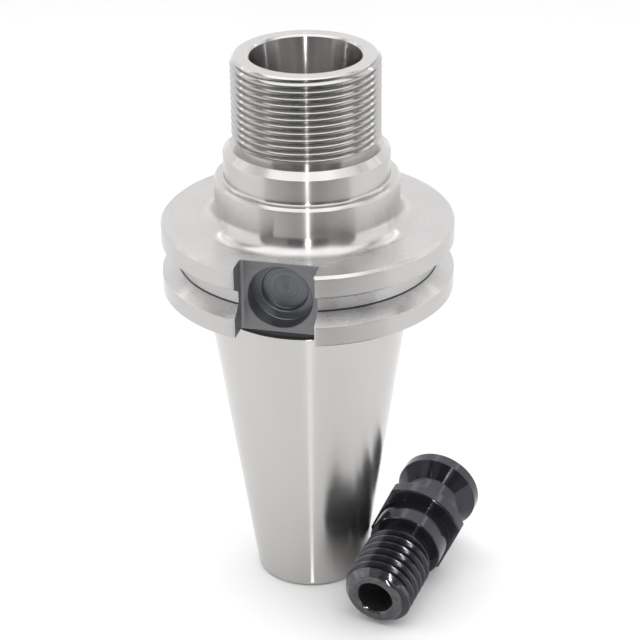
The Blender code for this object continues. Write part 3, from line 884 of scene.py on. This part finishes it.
def slot_section(s, floor, out):
    """A drive slot seen along the axis, with its mouth towards -Y and each side moved out by out."""
    half = s.slot_width / 2 + out
    outside = s.flange_diameter / 2
    mouth = math.sqrt(outside**2 - half**2) - SLOT_EDGE_CHAMFER
    reach = outside + TOOL_MARGIN
    right = []
    for i in range(SLOT_CORNER_STEPS + 1):
        a = i * math.pi / 2 / SLOT_CORNER_STEPS
        x = half - SLOT_CORNER_RADIUS * (1 - math.sin(a))
        right.append((x, floor - out + SLOT_CORNER_RADIUS * (1 - math.cos(a))))
    right += [(half, mouth), (half + reach - mouth, reach)]
    return [(-x, -y) for x, y in reversed(right)] + [(x, -y) for x, y in right]


def slot_tool(s, name, floor, turned_by):
    """A drive slot's mill, with rims chamfered at the flange's faces and bright chamfers at the mouth."""
    back = s.taper_length + s.flange_offset
    top = back + s.flange_thickness
    rim = SLOT_RIM_CHAMFER
    levels = [(back - rim, 2 * rim), (back + rim, 0.0), (top - rim, 0.0), (top + rim, 2 * rim)]
    sections = [(z, slot_section(s, floor, out)) for z, out in levels]
    last_side = len(sections[0][1]) - 2
    tool = prism(name, sections, SLOT, ((0, TURNED), (last_side, TURNED)))
    tool.rotation_euler.z = turned_by
    return tool


def pocket_tool(s):
    """An end mill's path, turned about Z and laid along Y at the groove's height."""
    edge = POCKET_EDGE_CHAMFER
    outer = s.pocket_diameter / 2
    inner = outer - s.pocket_ledge
    end = s.pocket_depth + s.pocket_inner_depth
    points = [
        (0.0, -TOOL_MARGIN),
        (outer + edge, -TOOL_MARGIN),
        (outer + edge, 0.0),
        (outer, edge),
        (outer, s.pocket_depth - edge),
        (outer - edge, s.pocket_depth),
        (inner + edge, s.pocket_depth),
        (inner, s.pocket_depth + edge),
        (inner, end - edge),
        (inner - edge, end),
        (0.0, end),
    ]
    tool = turned("pocket_tool", [(r, -z, POCKET) for r, z in points], POCKET_STEPS)
    tool.rotation_euler.x = math.pi / 2
    tool.location = (0, -s.front_floor, s.taper_length + s.groove_offset)
    return tool


class TOOLHOLDER_OT_holder(bpy.types.Operator):
    """Turns, threads, faces and mills the holder"""

    bl_idname = "toolholder.holder"
    bl_label = "Holder Body"

    def execute(self, context):
        s = context.scene.holder_sizes
        collar_top = s.taper_length + s.flange_offset + s.flange_thickness + s.neck_length + s.collar_length
        cut = collar_top - s.collar_length / 2
        lower = turned("lower_body", softened(lower_outline(s, cut), cut), HOLDER_STEPS)
        lower = machined(lower, [], [
            slot_tool(s, "front_slot_tool", s.front_floor, 0.0),
            slot_tool(s, "rear_slot_tool", s.rear_floor, math.pi),
            pocket_tool(s),
        ], HOLDER_FINISHES)
        nose = turned("nose", softened(nose_outline(s, cut), cut), HOLDER_STEPS)
        top = s.nose_end + s.thread_pitch / 2
        sleeve = threaded_sleeve("nose_sleeve", s, collar_top, top, HOLDER_STEPS, THREADED)
        nose = machined(nose, [sleeve], [
            turned("facing_tool", facing_outline(s), HOLDER_STEPS, HALF_A_STEP),
            turned("relief_tool", relief_outline(s, collar_top), HOLDER_STEPS, HALF_A_STEP),
        ], HOLDER_FINISHES)
        holder = shaded(welded("turned_holder", (lower, nose), cut))
        give_slots(holder, HOLDER_FINISHES)
        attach(holder, BODY)
        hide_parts("holder_body")
        return {"FINISHED"}


def stud_outline(s):
    """The stud from its head down to the stock past its thread end."""
    head = s.head_diameter / 2
    neck = s.neck_diameter / 2
    collar = s.collar_diameter / 2
    pilot = s.pilot_diameter / 2
    core = core_radius(s) - SLEEVE_WALL / 2
    hole = s.hole_diameter / 2
    edge = STUD_EDGE_CHAMFER
    seat = collar_seat(s)
    collar_top = seat + s.collar_thickness
    end = seat + s.head_reach
    rim_foot = end - s.head_rim
    stock = s.thread_length + s.groove_width - SHOULDER_STOCK
    return [
        (hole + STUD_HOLE_CHAMFER, end, OXIDE),
        (head - edge, end, OXIDE),
        (head, end - edge, OXIDE),
        (head, rim_foot, OXIDE),
        (neck, rim_foot - (head - neck), OXIDE),
        *fillet(neck, collar_top, s.neck_fillet, OXIDE, SMALL_FILLET_STEPS),
        (collar - edge, collar_top, OXIDE),
        (collar, collar_top - edge, OXIDE),
        (collar, seat + edge, OXIDE),
        (collar - edge, seat, OXIDE),
        (pilot, seat, OXIDE),
        (pilot, stock + STUD_PILOT_CHAMFER, OXIDE),
        (pilot - STUD_PILOT_CHAMFER, stock, OXIDE),
        (core, stock, OXIDE_THREAD),
        (core, -FACING_STOCK, OXIDE),
        (hole, -FACING_STOCK, OXIDE_HOLE),
        (hole, end - STUD_HOLE_CHAMFER, OXIDE),
    ]


def stud_facing_outline(s):
    """The tool that faces the thread end and chamfers its hole and its thread."""
    mouth = s.hole_diameter / 2 + STUD_HOLE_CHAMFER
    crest = s.thread_diameter / 2
    face = crest - s.end_chamfer
    inside = 2 * STUD_HOLE_CHAMFER
    reach = crest + SLEEVE_WALL
    below = -FACING_STOCK - TOOL_MARGIN
    ease = EDGE_ROUNDING / 2
    points = [
        (mouth - inside, inside),
        (mouth - ease, ease),
        (mouth + ease, 0.0),
        (face - ease, 0.0),
        (face + ease, ease),
        (reach, reach - face),
        (crest + TOOL_MARGIN, reach - face),
        (crest + TOOL_MARGIN, below),
        (mouth - inside, below),
    ]
    return [(r, z, OXIDE) for r, z in points]


def stud_groove_outline(s):
    """The tool that cuts the relief between the thread and the pilot."""
    floor = core_radius(s) - STUD_GROOVE_DEPTH
    reach = s.pilot_diameter / 2 + TOOL_MARGIN
    low = s.thread_length
    high = low + s.groove_width
    points = [(floor, high), (reach, high), (reach, low - (reach - floor)), (floor, low)]
    return [(r, z, OXIDE) for r, z in points]


def flat_tool(s, name, side):
    """A block that mills one of the collar's two flats."""
    reach = s.collar_diameter / 2 + TOOL_MARGIN
    near = side * s.wrench_size / 2
    far = side * reach
    low = collar_seat(s) - TOOL_MARGIN
    high = collar_seat(s) + s.collar_thickness + TOOL_MARGIN
    square = [(near, -reach), (far, -reach), (far, reach), (near, reach)]
    tool = prism(name, [(low, square), (high, square)], OXIDE)
    tool.rotation_euler.z = s.flats_roll
    return tool


class TOOLHOLDER_OT_stud(bpy.types.Operator):
    """Turns, threads and mills the pull stud, and lays it beside the taper"""

    bl_idname = "toolholder.stud"
    bl_label = "Pull Stud"

    def execute(self, context):
        s = context.scene.stud_sizes
        stud = turned("blackened_stud", softened(stud_outline(s)), STUD_STEPS)
        top = s.thread_length + s.groove_width + s.thread_pitch / 2
        sleeve = threaded_sleeve("stud_sleeve", s, 0.0, top, STUD_STEPS, OXIDE_THREAD)
        stud = machined(stud, [sleeve], [
            turned("stud_facing_tool", stud_facing_outline(s), STUD_STEPS, HALF_A_STEP),
            turned("stud_groove_tool", stud_groove_outline(s), STUD_STEPS, HALF_A_STEP),
            flat_tool(s, "left_flat_tool", -1),
            flat_tool(s, "right_flat_tool", 1),
        ], STUD_FINISHES)
        place, lie = stud_turn(s)
        stud.data.transform(Matrix.Translation(place) @ lie.to_matrix().to_4x4())
        shaded(stud)
        give_slots(stud, STUD_FINISHES)
        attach(stud, BODY)
        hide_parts("pull_stud")
        return {"FINISHED"}


# Stage


def floor_material(s):
    """A pale table with a dark painted shade towards the camera, in front of the picture's edge, for the
    unlit front of the room.
    """
    made, tree = new_material("pale_table")
    position = node(tree, "ShaderNodeTexCoord").outputs["Object"]
    facing = node(tree, "ShaderNodeMapping", {"vector_type": "TEXTURE"},
                  Vector=position, Rotation=(0, 0, s.camera_turn))
    away = to_xyz(tree, facing.outputs[0])[1]
    shade = tinted(tree, spread(tree, away, *FLOOR_FADE), s.floor_painted_shade, s.floor_colour)
    set_surface(tree, {"Base Color": shade, "Roughness": FLOOR_ROUGHNESS, "Specular IOR Level": FLOOR_SHINE})
    return made


def room_world(s):
    """A dim room with soft upright streaks, which the turned faces draw out along the axis."""
    world = bpy.data.worlds.new("Dim room")
    bpy.context.scene.world = world
    world.use_nodes = True
    tree = world.node_tree
    at = to_xyz(tree, node(tree, "ShaderNodeTexCoord").outputs["Generated"])
    level = vector_maths(tree, "NORMALIZE", from_xyz(tree, at[0], at[1]))[0]
    noise = noise_at(tree, level, STREAK_SCALE, detail=4.0, rough=0.7)
    streaks = spread(tree, noise, *STREAK_FADE, *(s.room * part for part in STREAK_SHARES))
    back = tree.nodes["Background"].inputs
    plug(tree, (1.0, 1.0, 1.0, 1.0), back["Color"])
    plug(tree, streaks, back["Strength"])


def soft_box(name, width, height, radiance, place, aim):
    """A rectangular light that faces a point and isn't seen by the camera itself."""
    light = bpy.data.lights.new(name, "AREA")
    light.shape = "RECTANGLE"
    light.size = width
    light.size_y = height
    light.energy = radiance * math.pi * width * height
    obj = bpy.data.objects.new(name, light)
    obj.location = place
    obj.rotation_euler = (Vector(aim) - Vector(place)).to_track_quat("-Z", "Y").to_euler()
    obj.visible_camera = False
    bpy.context.scene.collection.objects.link(obj)
    return obj


def studio_lights(s, facing):
    """Soft boxes beside, behind and over the holder, a narrow one in front, and thin lights on the table."""
    for side in (-1, 1):
        for name, degrees, distance, width, part in SIDE_BOXES:
            a = math.radians(degrees)
            place = Vector((side * distance * math.sin(a), -distance * math.cos(a), SIDE_BOX_MIDDLE))
            soft_box(name, width, SIDE_BOX_HEIGHT, s.side * part, facing @ place, (0, 0, SIDE_BOX_MIDDLE))
    for name, radiance, width, height, place, aim in SINGLE_BOXES:
        soft_box(name, width, height, getattr(s, radiance), facing @ Vector(place), facing @ Vector(aim))
    for width, reach, distance in TABLE_STRIPS:
        place = facing @ Vector((0, -distance, TABLE_STRIP_HEIGHT))
        strip = soft_box("table_strip", width, reach, s.table_strip, place, (0, 0, 0))
        strip.rotation_euler = (math.pi, 0, s.camera_turn)


class TOOLHOLDER_OT_stage(bpy.types.Operator):
    """Sets the table, the dim room, the lights and the camera"""

    bl_idname = "toolholder.stage"
    bl_label = "Studio Stage"

    def execute(self, context):
        s = context.scene.studio_settings
        bm = bmesh.new()
        bmesh.ops.create_grid(bm, x_segments=1, y_segments=1, size=s.floor_size / 2)
        table = object_of("table_top", bm)
        if table.data.polygons[0].normal.z < 0:
            table.data.flip_normals()
        table.data.materials.append(floor_material(s))
        room_world(s)
        facing = Matrix.Rotation(s.camera_turn, 4, "Z")
        studio_lights(s, facing)
        camera = bpy.data.objects.new("camera", bpy.data.cameras.new("camera"))
        camera.data.lens = s.focal_length
        camera.data.sensor_width = SENSOR_WIDTH
        camera.data.clip_start = CLIP_START
        turned_to = (
            Matrix.Rotation(s.camera_turn - s.camera_yaw, 4, "Z")
            @ Matrix.Rotation(math.pi / 2 - s.camera_pitch, 4, "X")
            @ Matrix.Rotation(s.camera_roll, 4, "Z")
        )
        place = facing @ Vector((0.0, -s.camera_distance, s.camera_height))
        camera.matrix_world = Matrix.Translation(place) @ turned_to
        context.scene.collection.objects.link(camera)
        context.scene.camera = camera
        context.scene.view_settings.view_transform = "Standard"
        return {"FINISHED"}


class TOOLHOLDER_PT_panel(bpy.types.Panel):
    """Sizes, finishes and the operators that build the scene"""

    bl_label = "Tool Holder"
    bl_idname = "TOOLHOLDER_PT_panel"
    bl_space_type = "VIEW_3D"
    bl_region_type = "UI"
    bl_category = "Tool Holder"

    def draw(self, context):
        for step in STEPS:
            self.layout.operator(step.bl_idname)
        for owner in GROUPS:
            group = getattr(context.scene, owner)
            box = self.layout.box()
            for name in group.__annotations__:
                box.prop(group, name)


STEPS = (TOOLHOLDER_OT_finishes, TOOLHOLDER_OT_holder, TOOLHOLDER_OT_stud, TOOLHOLDER_OT_stage)
GROUPS = {
    "holder_sizes": HolderSizes,
    "stud_sizes": StudSizes,
    "steel_finish": SteelFinish,
    "studio_settings": StudioSettings,
}


def register():
    for name, group in GROUPS.items():
        bpy.utils.register_class(group)
        setattr(bpy.types.Scene, name, bpy.props.PointerProperty(type=group))
    for cls in (*STEPS, TOOLHOLDER_PT_panel):
        bpy.utils.register_class(cls)


def unregister():
    for cls in (TOOLHOLDER_PT_panel, *reversed(STEPS)):
        bpy.utils.unregister_class(cls)
    for name, group in GROUPS.items():
        delattr(bpy.types.Scene, name)
        bpy.utils.unregister_class(group)


def main():
    register()
    bpy.ops.toolholder.finishes()
    bpy.ops.toolholder.holder()
    bpy.ops.toolholder.stud()
    bpy.ops.toolholder.stage()


if __name__ == "__main__":
    main()
